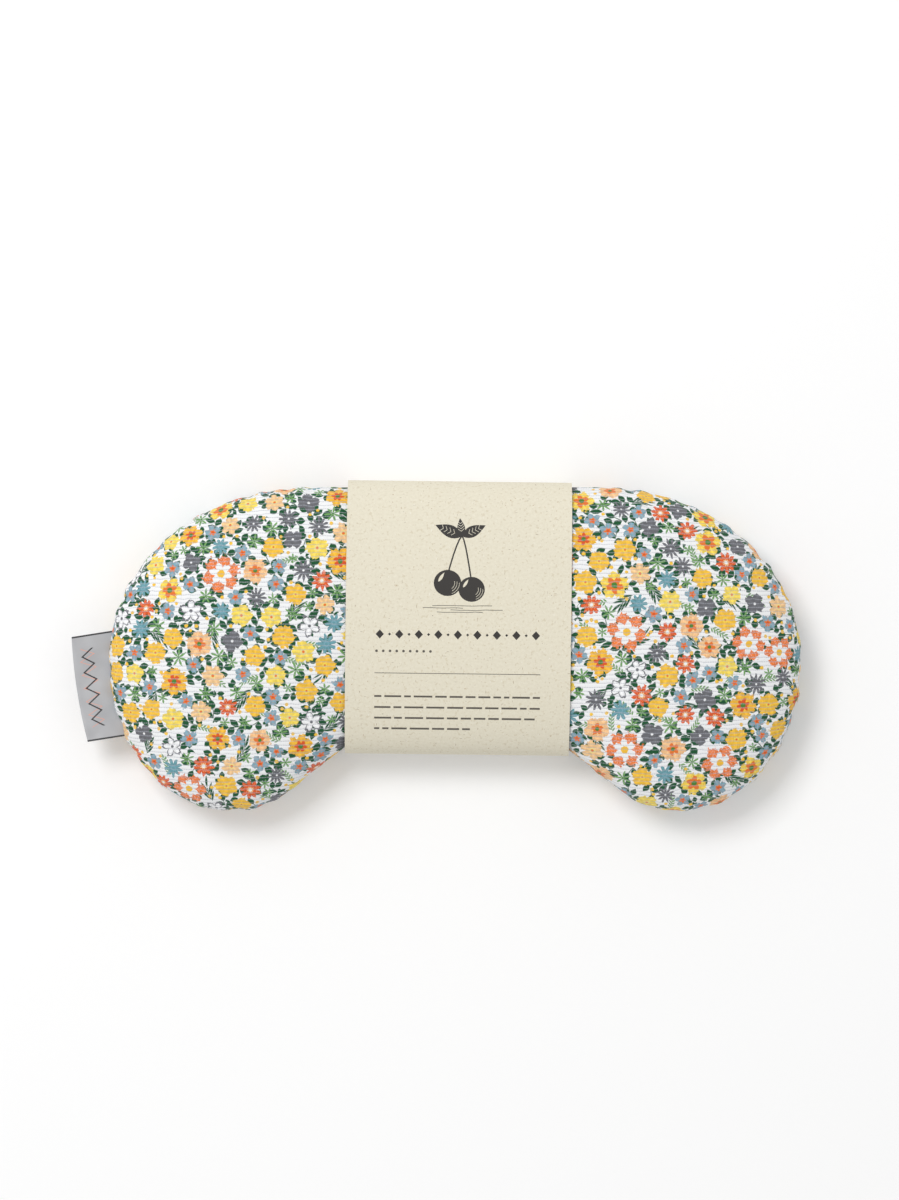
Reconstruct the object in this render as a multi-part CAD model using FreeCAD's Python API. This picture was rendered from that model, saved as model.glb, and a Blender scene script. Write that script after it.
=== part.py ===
import FreeCAD, Part
import math
import os
from FreeCAD import Vector

# An eye cushion of printed cotton filled with cherry stones, lying on its back panel.
# +X is the wearer's left-to-right length, +Y the forehead edge, +Z the printed front.
# Every size is in millimetres. The pieces are laid out about the middle of the cushion's
# outline, and then moved as one, so that the origin is under the middle of the whole thing.

# ---- the cushion's outline, which is its seam line seen from above ----
cushion_length = 229.2
top_edge_y = 53.8              # the straight forehead edge
lobe_bottom_y = -53.9          # the lowest line of the two lobes
widest_y = -3.0                # where the outline is longest
top_corner_run = 65.0          # how far from the end the forehead edge starts to round off
bottom_corner_run = 39.5       # the same for the bottom of a lobe
notch_depth = 33.8             # the nose notch, from the lobes' bottom line to its crown
notch_arch_radius = 60.0
notch_flank_angle = 39.4       # degrees, of the straight flank between notch and lobe
lobe_bottom_radius = 18.0      # where the flank turns into the lobe's bottom

# ---- how full it is ----
seam_height = 14.0             # seam line above the table
lobe_rise = 18.0               # front of a lobe above the seam line
waist_rise = 14.5              # front of the waist above the seam line
table_press = 0.15             # how far the back of a lobe is pressed flat by the table
lobe_middle_x = 60.0           # middle of a lobe, from the middle of the cushion
waist_blend_run = 12.0         # the least run over which the back comes down to the table
fullness = 0.42                # how square the filled edge is: 0.5 would be an ellipse

# ---- cloth and thread ----
cloth = 0.8
seam_allowance = 8.0
fold_depth = 0.6               # how far the seam line lies inside the two folds beside it
fold_rise = 0.6                # how far each fold stands above or below the seam line
thread = 0.3
stitch_pitch = 3.0
stitch_length = 2.5
closing_pitch = 2.4            # the hand stitches that shut the filling gap
closing_stitch_length = 2.6
closing_slant = 25.0
closing_from_y = -14.0         # where they start and end on the right-hand edge
closing_to_y = -44.0
thread_clearance = 0.05

# ---- filling ----
stone_length = 9.6
stone_width = 9.0
stone_bands = 8                # facets from one tip of a stone to the other
stone_gap = 0.35               # between the longest ways of two stones
stone_cloth_gap = 0.5          # from a stone to the cloth
stone_turn = 137.5             # degrees that each stone is turned on from the one before
stone_tilt = 61.8
stone_test_step = 30           # degrees between the directions a stone's room is tested in

# ---- side label: a ribbon folded once, its two ends in the left-hand seam ----
label_width = 35.0
label_top_y = 4.6
label_reach = 13.3             # from the chord of the seam to the folded edge
label_ply = 0.25
label_slit = 0.1               # between the two plies
label_hinge_gap = 0.5          # from the outermost bulge of the seam to the line it bends on
label_bend_clearance = 0.1     # either side of that line
label_side_clearance = 0.3
label_end_clearance = 1.2      # behind the ribbon's ends, deep in the seam
slit_overrun = 1.0             # how far the cut between the plies runs past the ribbon

# ---- paper band round the waist ----
band_width = 73.6
band_middle_x = 1.1
paper = 0.3
band_clearance = 0.4           # from the cloth
band_over_table = 0.15
waist_beyond_band = 2.0        # the cushion's back stays lifted this far past the paper
band_top_gap = 1.9             # between the forehead edge and the paper's fold
band_bottom_gap = 0.4          # between the cushion and the lower fold, at the band's end
band_overlap = 18.0
band_overlap_start_y = 6.0     # where the inner end of the paper lies on the back
glue = 0.1
glue_clearance = 0.02
glue_length = 12.0
glue_edge = 6.0                # bare paper beside the glue, at both ends of the band
band_angle_step = 6.0          # degrees between the points its section is drawn through
dip_from = 285.0               # degrees round the section where the outer end starts to dip
dip_lead = 8.0                 # and by how many before the overlap it has dipped

# ---- sizes that follow from those ----
band_end_x = abs(band_middle_x) + band_width / 2
waist_flat_x = band_end_x + waist_beyond_band
paper_stack = 2 * paper + glue + 2 * glue_clearance
waist_lift = band_over_table + paper_stack + band_clearance
half_length = cushion_length / 2
lobe_half = half_length - lobe_middle_x
label_thickness = 2 * label_ply + label_slit


# ---- the outline as two functions of x, both even ----
slope_step = 1e-4              # either side of a place, where an edge's slope is taken


def top_y(x):
    """The forehead edge: straight, then a quarter ellipse down to the end."""
    run = (abs(x) - half_length + top_corner_run) / top_corner_run
    if run <= 0:
        return top_edge_y
    return widest_y + (top_edge_y - widest_y) * math.sqrt(max(0.0, 1 - run * run))


def bottom_y(x):
    """The nose edge: arch, flank, lobe bottom, then a quarter ellipse up to the end."""
    x = abs(x)
    angle = math.radians(notch_flank_angle)
    crown_y = lobe_bottom_y + notch_depth
    arch_x = notch_arch_radius * math.sin(angle)
    arch_y = crown_y - notch_arch_radius * (1 - math.cos(angle))
    lobe_y = lobe_bottom_y + lobe_bottom_radius * (1 - math.cos(angle))
    flank_x = arch_x + (arch_y - lobe_y) / math.tan(angle)
    lobe_x = flank_x + lobe_bottom_radius * math.sin(angle)
    if x <= arch_x:
        return crown_y - notch_arch_radius + math.sqrt(notch_arch_radius ** 2 - x * x)
    if x <= flank_x:
        return arch_y - (x - arch_x) * math.tan(angle)
    if x <= lobe_x:
        across = lobe_x - x
        return lobe_bottom_y + lobe_bottom_radius - math.sqrt(lobe_bottom_radius ** 2 - across ** 2)
    run = (x - half_length + bottom_corner_run) / bottom_corner_run
    if run <= 0:
        return lobe_bottom_y
    return widest_y + (lobe_bottom_y - widest_y) * math.sqrt(max(0.0, 1 - run * run))


def edge_point(x, edge, inset):
    """A point of one edge, moved into the cushion by inset, square to the edge."""
    slope = (edge(x + slope_step) - edge(x - slope_step)) / (2 * slope_step)
    inward = -1.0 if edge is top_y else 1.0
    size = math.hypot(1.0, slope)
    return x - inward * inset * slope / size, edge(x) + inward * inset / size


# ---- how high the filled cloth stands ----
def smooth(t):
    t = min(1.0, max(0.0, t))
    return t * t * (3 - 2 * t)


def swell(v):
    """The filled profile across the cushion: 1 in the middle, 0 at the seam."""
    return max(0.0, 1 - v * v) ** fullness


def end_share(x):
    """0 up to the middle of a lobe, and 1 at the cushion's end."""
    return max(0.0, (abs(x) - lobe_middle_x) / lobe_half)


def front_height(x):
    return waist_rise + (lobe_rise - waist_rise) * smooth(abs(x) / lobe_middle_x)


def lift(x):
    blend = max(waist_blend_run, lobe_middle_x - waist_flat_x)
    return (waist_lift + table_press) * (1 - smooth((abs(x) - waist_flat_x) / blend))


def back_height(x):
    return seam_height + table_press - lift(x)


def flattened(share):
    """The back's profile: the weight of the stones presses it flat on the table."""
    return 1 - (1 - share) ** 3


# ---- the nets of points that the four cloth surfaces are drawn through ----
lobe_step_run = 9.1            # about the cushion's length that one column of the net stands for
lobe_steps = max(6, round(lobe_half / lobe_step_run))
lobe_end_angles = [76, 83.7]   # degrees, of the last two columns
end_angle = lobe_end_angles[-1]
lobe_angles = [66 * i / lobe_steps for i in range(1, lobe_steps + 1)] + lobe_end_angles
waist_steps = 8
row_angles = list(range(-80, 81, 10))
end_bulge_power = 6            # how late the net's columns bow out towards the ends


def stations():
    """The places along X of the net's columns, close together towards the ends."""
    right = [lobe_middle_x * i / waist_steps for i in range(1, waist_steps + 1)]
    right += [lobe_middle_x + lobe_half * math.sin(math.radians(a)) for a in lobe_angles]
    return [-x for x in reversed(right)] + [0.0] + right


def net_point(x, row, inset, z):
    """A point across the cushion at x: row is -1 on the nose edge and +1 on the forehead edge."""
    top = edge_point(x, top_y, inset)
    bottom = edge_point(x, bottom_y, inset)
    last = lobe_middle_x + lobe_half * math.sin(math.radians(end_angle))
    bulge = (half_length - last) * end_share(x) ** end_bulge_power * (1 - row * row)
    share = (1 + row) / 2
    return Vector(bottom[0] + (top[0] - bottom[0]) * share + math.copysign(bulge, x),
                  bottom[1] + (top[1] - bottom[1]) * share, z)


def surface(columns):
    """A smooth surface over a net of control points, clamped at its four edges."""
    def knots(n):
        inner = n - 3
        return [float(i) for i in range(inner + 1)], [4] + [1] * (inner - 1) + [4]
    u_knots, u_times = knots(len(columns))
    v_knots, v_times = knots(len(columns[0]))
    made = Part.BSplineSurface()
    made.buildFromPolesMultsKnots(columns, u_times, v_times, u_knots, v_knots, False, False, 3, 3)
    return made.toShape()


def outer_surface(side, height, profile):
    """The outside of one panel. Its last row and column turn in to the seam line."""
    rows = [math.sin(math.radians(a)) for a in row_angles]
    columns = []
    places = stations()
    for i, x in enumerate(places):
        at_end = i in (0, len(places) - 1)
        full = 0.0 if at_end else height(x) - fold_rise
        net = [net_point(x, -1, fold_depth, seam_height),
               net_point(x, -1, 0, seam_height + side * fold_rise)]
        for row in rows:
            share = profile(swell(row) * swell(end_share(x)))
            net.append(net_point(x, row, 0, seam_height + side * (fold_rise + full * share)))
        net.append(net_point(x, 1, 0, seam_height + side * fold_rise))
        net.append(net_point(x, 1, fold_depth, seam_height))
        columns.append(net)
    rows = [-1, -1] + rows + [1, 1]
    first, last = [[net_point(x, row, fold_depth, seam_height) for row in rows]
                   for x in (places[0], places[-1])]
    return surface([first] + columns + [last])


def inner_surface(side, height, profile):
    """The inside of one panel, a cloth's thickness in. It ends on top of the allowance."""
    rows = [-1] + [math.sin(math.radians(a)) for a in row_angles] + [1]
    columns = []
    places = stations()
    for i, x in enumerate(places):
        at_end = i in (0, len(places) - 1)
        full = 0.0 if at_end else height(x) - 2 * cloth
        net = []
        for row in rows:
            share = profile(swell(row) * swell(end_share(x)))
            net.append(net_point(x, row, cloth, seam_height + side * (cloth + full * share)))
        columns.append(net)
    return surface(columns)


# ---- the seam, as a closed run of points ----
outline_step = 1.5
cut_edge_step = 6.0
outline_samples = 400          # along half of the forehead edge, and along half of the nose edge


def seam_line(inset, step=outline_step):
    """Points round the outline at an even step, moved in by inset, each with its direction."""
    last = lobe_middle_x + lobe_half * math.sin(math.radians(end_angle))
    turns = [math.pi / 2 * i / outline_samples for i in range(-outline_samples, outline_samples + 1)]
    along = [last * math.sin(turn) for turn in turns]
    loop = [edge_point(x, top_y, inset) for x in along]
    loop += [(half_length - inset, widest_y)]
    loop += [edge_point(x, bottom_y, inset) for x in reversed(along)]
    loop += [(inset - half_length, widest_y), loop[0]]
    lengths = [0.0]
    for a, b in zip(loop, loop[1:]):
        lengths.append(lengths[-1] + math.hypot(b[0] - a[0], b[1] - a[1]))
    count = max(3, round(lengths[-1] / step))
    found = []
    at = 0
    for k in range(count):
        want = lengths[-1] * k / count
        while lengths[at + 1] < want:
            at += 1
        a, b = loop[at], loop[at + 1]
        size = lengths[at + 1] - lengths[at]
        share = (want - lengths[at]) / size
        found.append((a[0] + (b[0] - a[0]) * share, a[1] + (b[1] - a[1]) * share,
                      (b[0] - a[0]) / size, (b[1] - a[1]) / size))
    return found


def ring_face(cloth_face, cut_edge):
    """The flat face of an allowance, between a cloth surface's border and the cut edge."""
    border = Part.Wire(Part.__sortEdges__(cloth_face.Edges))
    return Part.makeFace([border, Part.Wire(cut_edge)], "Part::FaceMakerBullseye")


def panel(side, height, profile):
    """One cloth panel with its turned-in seam allowance, as a closed solid."""
    outer = outer_surface(side, height, profile)
    inner = inner_surface(side, height, profile)
    inset = fold_depth + seam_allowance
    points = [Vector(p[0], p[1], seam_height) for p in seam_line(inset, cut_edge_step)]
    curve = Part.BSplineCurve()
    curve.interpolate(Points=points, PeriodicFlag=True)
    cut_edge = curve.toShape()
    up = Vector(0, 0, side * cloth)
    wall = cut_edge.extrude(up)
    raised = cut_edge.copy()
    raised.translate(up)
    seam_face = ring_face(outer, cut_edge)
    top_face = ring_face(inner, raised)
    solid = Part.Solid(Part.Shell([outer, inner, seam_face, top_face] + wall.Faces))
    if solid.Volume < 0:
        solid.reverse()
    return solid


def table(box):
    """The block of table under the back, which presses the two lobes flat."""
    return Part.makeBox(box.XLength, box.YLength, cloth, Vector(box.XMin, box.YMin, -cloth))


# ---- threads ----
def rod(middle, direction, length, diameter):
    start = middle - direction * (length / 2)
    return Part.makeCylinder(diameter / 2, length, start, direction)


def seam_stitches(side):
    """The machine stitches of the seam, lying on one of the two allowances."""
    z = seam_height + side * (cloth + thread_clearance + thread / 2)
    inset = fold_depth + cloth + 2 * thread
    return [rod(Vector(x, y, z), Vector(dx, dy, 0), stitch_length, thread)
            for x, y, dx, dy in seam_line(inset, stitch_pitch)]


def closing_stitches():
    """Slanted hand stitches across the groove of the seam, over the shut filling gap."""
    slant = math.radians(closing_slant)
    out = thread / 2 + thread_clearance
    made = []
    for x, y, dx, dy in seam_line(-out, closing_pitch):
        if x > lobe_middle_x and closing_to_y <= y <= closing_from_y and dx <= 0:
            lean = Vector(dx * math.sin(slant), dy * math.sin(slant), math.cos(slant))
            made.append(rod(Vector(x, y, seam_height), lean, closing_stitch_length, thread))
    return made


# ---- stones ----
def cavity_bounds(x, y):
    """The lowest and highest z inside the cloth at one place, or None outside of it."""
    if abs(x) >= half_length - cloth:
        return None
    top = edge_point(x, top_y, cloth)[1]
    bottom = edge_point(x, bottom_y, cloth)[1]
    row = (2 * y - top - bottom) / (top - bottom)
    if abs(row) >= 1:
        return None
    share = swell(row) * swell(end_share(x))
    return (seam_height - cloth - (back_height(x) - 2 * cloth) * flattened(share),
            seam_height + cloth + (front_height(x) - 2 * cloth) * share)


def stone_fits(x, y, z, outline):
    """Whether a stone at this place, turned any way, is clear of the cloth and the allowances."""
    reach = stone_length / 2 + stone_cloth_gap
    for rise in range(-90, 91, stone_test_step):
        for turn in range(0, 360, stone_test_step):
            flat = reach * math.cos(math.radians(rise))
            px = x + flat * math.cos(math.radians(turn))
            py = y + flat * math.sin(math.radians(turn))
            pz = z + reach * math.sin(math.radians(rise))
            bounds = cavity_bounds(px, py)
            if bounds is None or not bounds[0] < pz < bounds[1]:
                return False
    over = max(0.0, abs(z - seam_height) - cloth)
    if over >= reach:
        return True
    edge = min(math.hypot(x - p[0], y - p[1]) for p in outline)
    return edge > fold_depth + seam_allowance + math.sqrt(reach ** 2 - over ** 2)


def stones():
    """Stones in close-packed layers, each turned its own way, as the left, middle and right heap."""
    rings = [math.pi * i / stone_bands for i in range(stone_bands + 1)]
    profile = Part.makePolygon([Vector(stone_length / 2 * math.cos(a), stone_width / 2 * math.sin(a), 0)
                                for a in rings])
    one = Part.Solid(Part.Shell(profile.revolve(Vector(0, 0, 0), Vector(1, 0, 0), 360).Faces))
    pitch = stone_length + stone_gap
    layer_height = pitch * math.sqrt(2 / 3)
    row_pitch = pitch * math.sqrt(3) / 2
    outline = seam_line(0)
    lowest = cloth + stone_cloth_gap + stone_length / 2 + thread_clearance
    layers = int((seam_height + lobe_rise) / layer_height) + 1
    across = int(top_edge_y / row_pitch) + 2
    along = int(half_length / pitch) + 2
    heaps = {"left": [], "middle": [], "right": []}
    number = 0
    for layer in range(layers):
        odd = layer % 2
        for row in range(-across, across + 1):
            y = row * row_pitch + odd * row_pitch / 3
            for place in range(-along, along + 1):
                x = (place + ((row + odd) % 2) / 2) * pitch
                z = lowest + layer * layer_height + lift(x)
                if not stone_fits(x, y, z, outline):
                    continue
                number += 1
                stone = one.copy()
                turn = FreeCAD.Rotation(number * stone_turn % 360, number * stone_tilt % 180 - 90, 0)
                stone.Placement = FreeCAD.Placement(Vector(x, y, z), turn)
                heap = "middle" if abs(x) < waist_flat_x - pitch else "right" if x > 0 else "left"
                heaps[heap].append(stone)
    return heaps


# ---- side label ----
def label_frame():
    """The chord of the seam behind the label: its middle, its direction and the way out."""
    def left_edge(y):
        low, high = lobe_middle_x, half_length
        for _ in range(60):
            middle = (low + high) / 2
            if bottom_y(middle) < y < top_y(middle):
                low = middle
            else:
                high = middle
        return -low
    top = Vector(left_edge(label_top_y), label_top_y, seam_height)
    lean = math.atan2(top.x - left_edge(label_top_y - label_width), label_width)
    low_y = label_top_y - label_width * math.cos(lean)
    low = Vector(left_edge(low_y), low_y, seam_height)
    along = (top - low).normalize()
    out = Vector(-along.y, along.x, 0)
    middle = (top + low) / 2
    bulge = max((Vector(p[0], p[1], seam_height) - middle).dot(out) for p in seam_line(0))
    return middle, along, out, bulge + label_hinge_gap


def label_block(out_from, out_to, z_from, z_to, width):
    """A flat block in the label's own directions."""
    middle, along, out, _ = label_frame()
    corner = middle + out * out_from - along * (width / 2) + Vector(0, 0, z_from)
    made = [corner, corner + out * (out_to - out_from)]
    made += [made[1] + along * width, corner + along * width, corner]
    return Part.Face(Part.makePolygon(made)).extrude(Vector(0, 0, z_to - z_from))


def label_loop():
    """The free part of the label: one ribbon folded at its outer edge."""
    hinge = label_frame()[3]
    half = label_thickness / 2
    inner_end = hinge + label_bend_clearance
    bar = label_block(inner_end, label_reach - half, -half, half, label_width)
    middle, along, out, _ = label_frame()
    nose = Part.makeCylinder(half, label_width, middle + out * (label_reach - half)
                             - along * (label_width / 2), along)
    slit = label_block(hinge - slit_overrun, label_reach - half, -label_slit / 2, label_slit / 2,
                       label_width + 2 * slit_overrun)
    return bar.fuse(nose).removeSplitter().cut(slit)


def label_sewn_ends():
    """The two ends of the ribbon, one on the other in the seam, as far out as the bend line."""
    hinge = label_frame()[3]
    half = label_thickness / 2
    inside = -seam_allowance
    out_to = hinge - half - label_bend_clearance
    return [label_block(inside, out_to, label_slit / 2, half, label_width),
            label_block(inside, out_to, -half, -label_slit / 2, label_width)]


def label_pocket():
    """The room that the two allowances leave for the label's ends."""
    half = label_thickness / 2 + thread_clearance
    deep = -seam_allowance - label_end_clearance
    return label_block(deep, label_reach, -half, half, label_width + 2 * label_side_clearance)


# ---- paper band ----
def band_section():
    """The middle height, half height, front rise and back depth of the paper's inner face."""
    top = top_edge_y + band_top_gap
    bottom = bottom_y(band_end_x) - band_bottom_gap
    rise = front_height(band_end_x) + band_clearance
    depth = seam_height - waist_lift + band_clearance
    return (top + bottom) / 2, (top - bottom) / 2, rise, depth


def band_loop_point(angle, thickness):
    """A point of the paper's section: angle runs up the back, over the front and round again."""
    middle, half, rise, depth = band_section()
    across = math.sin(math.radians(angle))
    share = swell(across)
    y = middle + (half + thickness) * across
    if math.cos(math.radians(angle)) >= 0:
        return y, seam_height - (depth + thickness) * flattened(share)
    return y, seam_height + (rise + thickness) * share


def paper_band():
    """A strip of paper round the waist, its outer end glued under its inner end."""
    middle, half, _, _ = band_section()
    start = math.degrees(math.asin((band_overlap_start_y - middle) / half))
    end = 360 + math.degrees(math.asin((band_overlap_start_y + band_overlap - middle) / half))
    count = int((end - start) / band_angle_step)
    angles = [start + (end - start) * i / count for i in range(count + 1)]
    under = paper + glue + 2 * glue_clearance

    def drop(angle):
        """How much lower the outer end runs, once it has come round to the back."""
        return under * smooth((angle - dip_from) / (start + 360 - dip_lead - dip_from))

    def side(thickness):
        points = []
        for angle in angles:
            y, z = band_loop_point(angle, thickness)
            points.append(Vector(band_middle_x - band_width / 2, y, z - drop(angle)))
        curve = Part.BSplineCurve()
        curve.interpolate(Points=points)
        return curve.toShape(), points

    inner, inner_points = side(0)
    outer, outer_points = side(paper)
    first = Part.makeLine(inner_points[0], outer_points[0])
    last = Part.makeLine(inner_points[-1], outer_points[-1])
    wire = Part.Wire(Part.__sortEdges__([inner, last, outer, first]))
    return Part.Face(wire).extrude(Vector(band_width, 0, 0))


def band_glue():
    """The thin layer of glue between the two ends of the paper."""
    _, _, _, depth = band_section()
    top = seam_height - depth - paper - glue_clearance
    y = band_overlap_start_y + (band_overlap - glue_length) / 2
    return Part.makeBox(band_width - 2 * glue_edge, glue_length, glue,
                        Vector(band_middle_x - band_width / 2 + glue_edge, y, top - glue))


# ---- all pieces ----
def export(name, shape):
    """Writes one piece, moved so that the origin is under the middle of the whole thing."""
    if isinstance(shape, list):
        shape = Part.makeCompound(shape)
    shape.translate(Vector(-centre_x, -centre_y, 0))
    shape.exportStep(f"parts/{name}.step")
    print(name, len(shape.Solids), "solids", round(shape.Volume, 1), "mm3, valid", shape.isValid())


os.makedirs("parts", exist_ok=True)
loop = label_loop()
band = paper_band()
centre_x = (half_length + loop.BoundBox.XMin) / 2
centre_y = (band.BoundBox.YMax + lobe_bottom_y) / 2
pocket = label_pocket()
export("front_panel", panel(1, front_height, lambda share: share).cut(pocket))
back = panel(-1, back_height, flattened).cut(pocket)
export("back_panel", back.cut(table(back.BoundBox)))
export("seam_needle_thread", seam_stitches(1))
export("seam_bobbin_thread", seam_stitches(-1))
export("closing_stitches", closing_stitches())
heaps = stones()
export("stones_left_lobe", heaps["left"])
export("stones_waist", heaps["middle"])
export("stones_right_lobe", heaps["right"])
export("label_sewn_ends", label_sewn_ends())
export("label_loop", loop)
export("paper_band", band)
export("band_glue", band_glue())
middle, along, out, hinge = label_frame()
print("label bends at", middle + out * hinge - Vector(centre_x, centre_y, 0), "along", along)
print("cushion's middle at", -centre_x, -centre_y)
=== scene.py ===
import bpy
import bmesh
import math
import random
import numpy as np
from functools import partialmethod
from mathutils import Matrix, Vector, geometry
from mathutils.bvhtree import BVHTree


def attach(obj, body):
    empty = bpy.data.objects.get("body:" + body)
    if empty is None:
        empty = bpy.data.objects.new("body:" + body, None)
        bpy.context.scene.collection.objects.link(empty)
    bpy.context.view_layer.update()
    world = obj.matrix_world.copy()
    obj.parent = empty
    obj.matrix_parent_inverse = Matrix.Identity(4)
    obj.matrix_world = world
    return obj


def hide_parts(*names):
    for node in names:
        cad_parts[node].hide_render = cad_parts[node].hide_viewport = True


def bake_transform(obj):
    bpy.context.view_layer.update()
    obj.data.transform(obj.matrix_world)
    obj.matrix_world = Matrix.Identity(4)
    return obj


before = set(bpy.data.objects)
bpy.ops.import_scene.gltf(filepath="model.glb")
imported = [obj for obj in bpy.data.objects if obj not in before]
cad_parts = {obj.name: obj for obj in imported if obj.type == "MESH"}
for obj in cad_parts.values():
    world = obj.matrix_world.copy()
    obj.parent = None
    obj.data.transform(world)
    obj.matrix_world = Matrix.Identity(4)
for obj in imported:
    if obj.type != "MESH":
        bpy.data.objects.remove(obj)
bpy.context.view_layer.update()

middle = np.array([0.00627863, -0.00108187])   # the middle of the cushion's outline

# ---- the cut cloth ----
# The cushion is two like pieces of cotton, sewn face to face, turned and filled. The cut is laid
# out flat: its columns run out from a spine along the middle to the seam, and each is as long as
# the filled cushion's surface is there, so that round the lobes there is more cloth than seam.
seam_height = 0.014
fold_height = 0.0006           # how far the two folds beside the seam stand from it
spine_half = 0.055
spine_y = 0.008
lobe_girth = 0.157             # how much of the way round counts for one end
round_trip = 4 * spine_half + 2 * lobe_girth
columns = 720
levels = 44
grain = 0.0022                 # spacing of the cloth's points before it is subdivided
steps = 160                    # rows of places kept from the spine to the seam
outside, above = 0.2, 0.1      # clear of the cushion sideways, and over or under it


def spine_columns(places):
    """The spine point and the outward direction for each place round the cushion."""
    upper = places < round_trip / 2
    side = np.where(upper, 1, -1)                          # the lower half is the upper one turned round
    along = np.where(upper, places, places - round_trip / 2)
    turn = math.pi * np.maximum(0, along - 2 * spine_half) / lobe_girth
    at = np.stack([side * np.minimum(along - spine_half, spine_half), np.full(len(places), spine_y)], 1)
    return at, np.stack([side * np.sin(turn), side * np.cos(turn)], 1)


def way_round(points):
    """Each flat point's place round the cushion, its spine point, its direction and how far out it is."""
    x = points[:, 0]
    at = np.stack([np.clip(x, -spine_half, spine_half), np.full(len(x), spine_y)], 1)
    out = points - at
    reach = np.hypot(out[:, 0], out[:, 1])
    right = 2 * spine_half + lobe_girth * np.arctan2(out[:, 0], out[:, 1]) / math.pi
    left = 4 * spine_half + lobe_girth * (1 + np.arctan2(-out[:, 0], -out[:, 1]) / math.pi)
    low = 3 * spine_half + lobe_girth - x
    place = np.where(out[:, 1] >= 0, x + spine_half, low)
    place = np.where(x > spine_half, right, np.where(x < -spine_half, left, place))
    return place % round_trip, at, out / np.maximum(reach, 1e-9)[:, None], reach


def search_tree(node):
    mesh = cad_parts[node].data
    return BVHTree.FromPolygons([v.co for v in mesh.vertices], [p.vertices for p in mesh.polygons])


def cushion_columns():
    """For each column: the seam's distance from the spine, and the front's and back's heights."""
    front, back = search_tree("front_panel"), search_tree("back_panel")
    at, way = spine_columns(np.arange(columns) * round_trip / columns)
    shares = np.sin(np.pi / 2 * np.arange(levels) / (levels - 1))
    reach = np.zeros(columns)
    heights = np.zeros((2, columns, levels))
    for c in range(columns):
        far = middle + at[c] + way[c] * outside
        found = front.ray_cast(Vector((*far, seam_height + fold_height)), Vector((*-way[c], 0)))
        reach[c] = outside - found[3]
        for k in range(levels):
            x, y = middle + at[c] + way[c] * reach[c] * min(shares[k], 0.9995)
            for side, (tree, top) in enumerate(((front, above), (back, -above))):
                hit = tree.ray_cast(Vector((x, y, top)), Vector((0, 0, -top)))[0]
                edge = seam_height + math.copysign(fold_height, top)
                heights[side, c, k] = hit.z if hit and k < levels - 1 else edge
    return at, way, shares, reach, heights


spine_at, spine_way, shares, seam_reach, heights = cushion_columns()
radii = seam_reach[:, None] * shares
tables = []                    # for each side: distance from the spine and height, at even cloth lengths
cut_reach = np.zeros(columns)
for side in (0, 1):
    runs = np.hypot(np.diff(radii, axis=1), np.diff(heights[side], axis=1))
    length = np.concatenate([np.zeros((columns, 1)), np.cumsum(runs, axis=1)], axis=1)
    cut_reach += length[:, -1] / 2
    even = np.linspace(0, 1, steps)
    table = np.zeros((2, columns, steps))
    for c in range(columns):
        table[0, c] = np.interp(even, length[c] / length[c, -1], radii[c])
        table[1, c] = np.interp(even, length[c] / length[c, -1], heights[side, c])
    tables.append(table)


def round_value(values, place):
    """A value given per column, at any place round the cushion."""
    ring = np.append(values, values[0])
    return np.interp(place, np.linspace(0, round_trip, columns + 1), ring)


def filled_place(points, side):
    """Where flat points of the cut lie on the filled cushion's front (side 0) or back (side 1)."""
    place, at, way, reach = way_round(points)
    share = np.clip(reach / round_value(cut_reach, place), 0, 1) * (steps - 1)
    column = place / round_trip * columns
    c, k = np.floor(column).astype(int), np.minimum(np.floor(share).astype(int), steps - 2)
    across, along = (column - c)[None], (share - k)[None]
    a, b = c % columns, (c + 1) % columns
    table = tables[side]
    near = table[:, a, k] * (1 - along) + table[:, a, k + 1] * along
    next_one = table[:, b, k] * (1 - along) + table[:, b, k + 1] * along
    radius, height = near * (1 - across) + next_one * across
    flat = middle + at + way * radius[:, None]
    return np.column_stack([flat, height])


def cut_outline():
    """Points of the cut's edge at an even spacing."""
    loop = spine_at + spine_way * cut_reach[:, None]
    loop = np.vstack([loop, loop[:1]])
    run = np.concatenate([[0], np.cumsum(np.hypot(*np.diff(loop, axis=0).T))])
    count = round(run[-1] / grain)
    at = np.arange(count) * run[-1] / count
    return np.column_stack([np.interp(at, run, loop[:, 0]), np.interp(at, run, loop[:, 1])])


def cut_points(edge):
    """Points all over the cut, in even triangles, clear of its edge."""
    found = []
    for number, y in enumerate(np.arange(-0.08, 0.08, grain * math.sqrt(3) / 2)):
        x = np.arange(-0.14, 0.14, grain) + number % 2 * grain / 2
        found.append(np.column_stack([x, np.full(len(x), y)]))
    found = np.vstack(found)
    place, _, _, reach = way_round(found)
    found = found[reach < round_value(cut_reach, place)]
    gap = np.min(np.hypot(found[:, None, 0] - edge[None, :, 0], found[:, None, 1] - edge[None, :, 1]), 1)
    return found[gap > 0.65 * grain]


rim = cut_outline()
points = np.vstack([rim, cut_points(rim)])
ring = [(i, (i + 1) % len(rim)) for i in range(len(rim))]
spread, _, triangles, first_ids, _, _ = geometry.delaunay_2d_cdt(
    [Vector(p) for p in points], ring, [], 0, 1e-7, True)
flat = np.array([v[:] for v in spread])
on_rim = np.array([min(ids) < len(rim) for ids in first_ids])
place, _, _, reach = way_round(flat[np.array(triangles)].mean(1))
triangles = np.array(triangles)[reach < round_value(cut_reach, place)]
count = len(flat)
back_index = np.arange(count)
back_index[~on_rim] = count + np.arange((~on_rim).sum())
front_faces = triangles
back_faces = back_index[front_faces][:, ::-1]
start = np.vstack([filled_place(flat, 0), filled_place(flat[~on_rim], 1)])
start[:count][on_rim, 2] = seam_height

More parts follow.
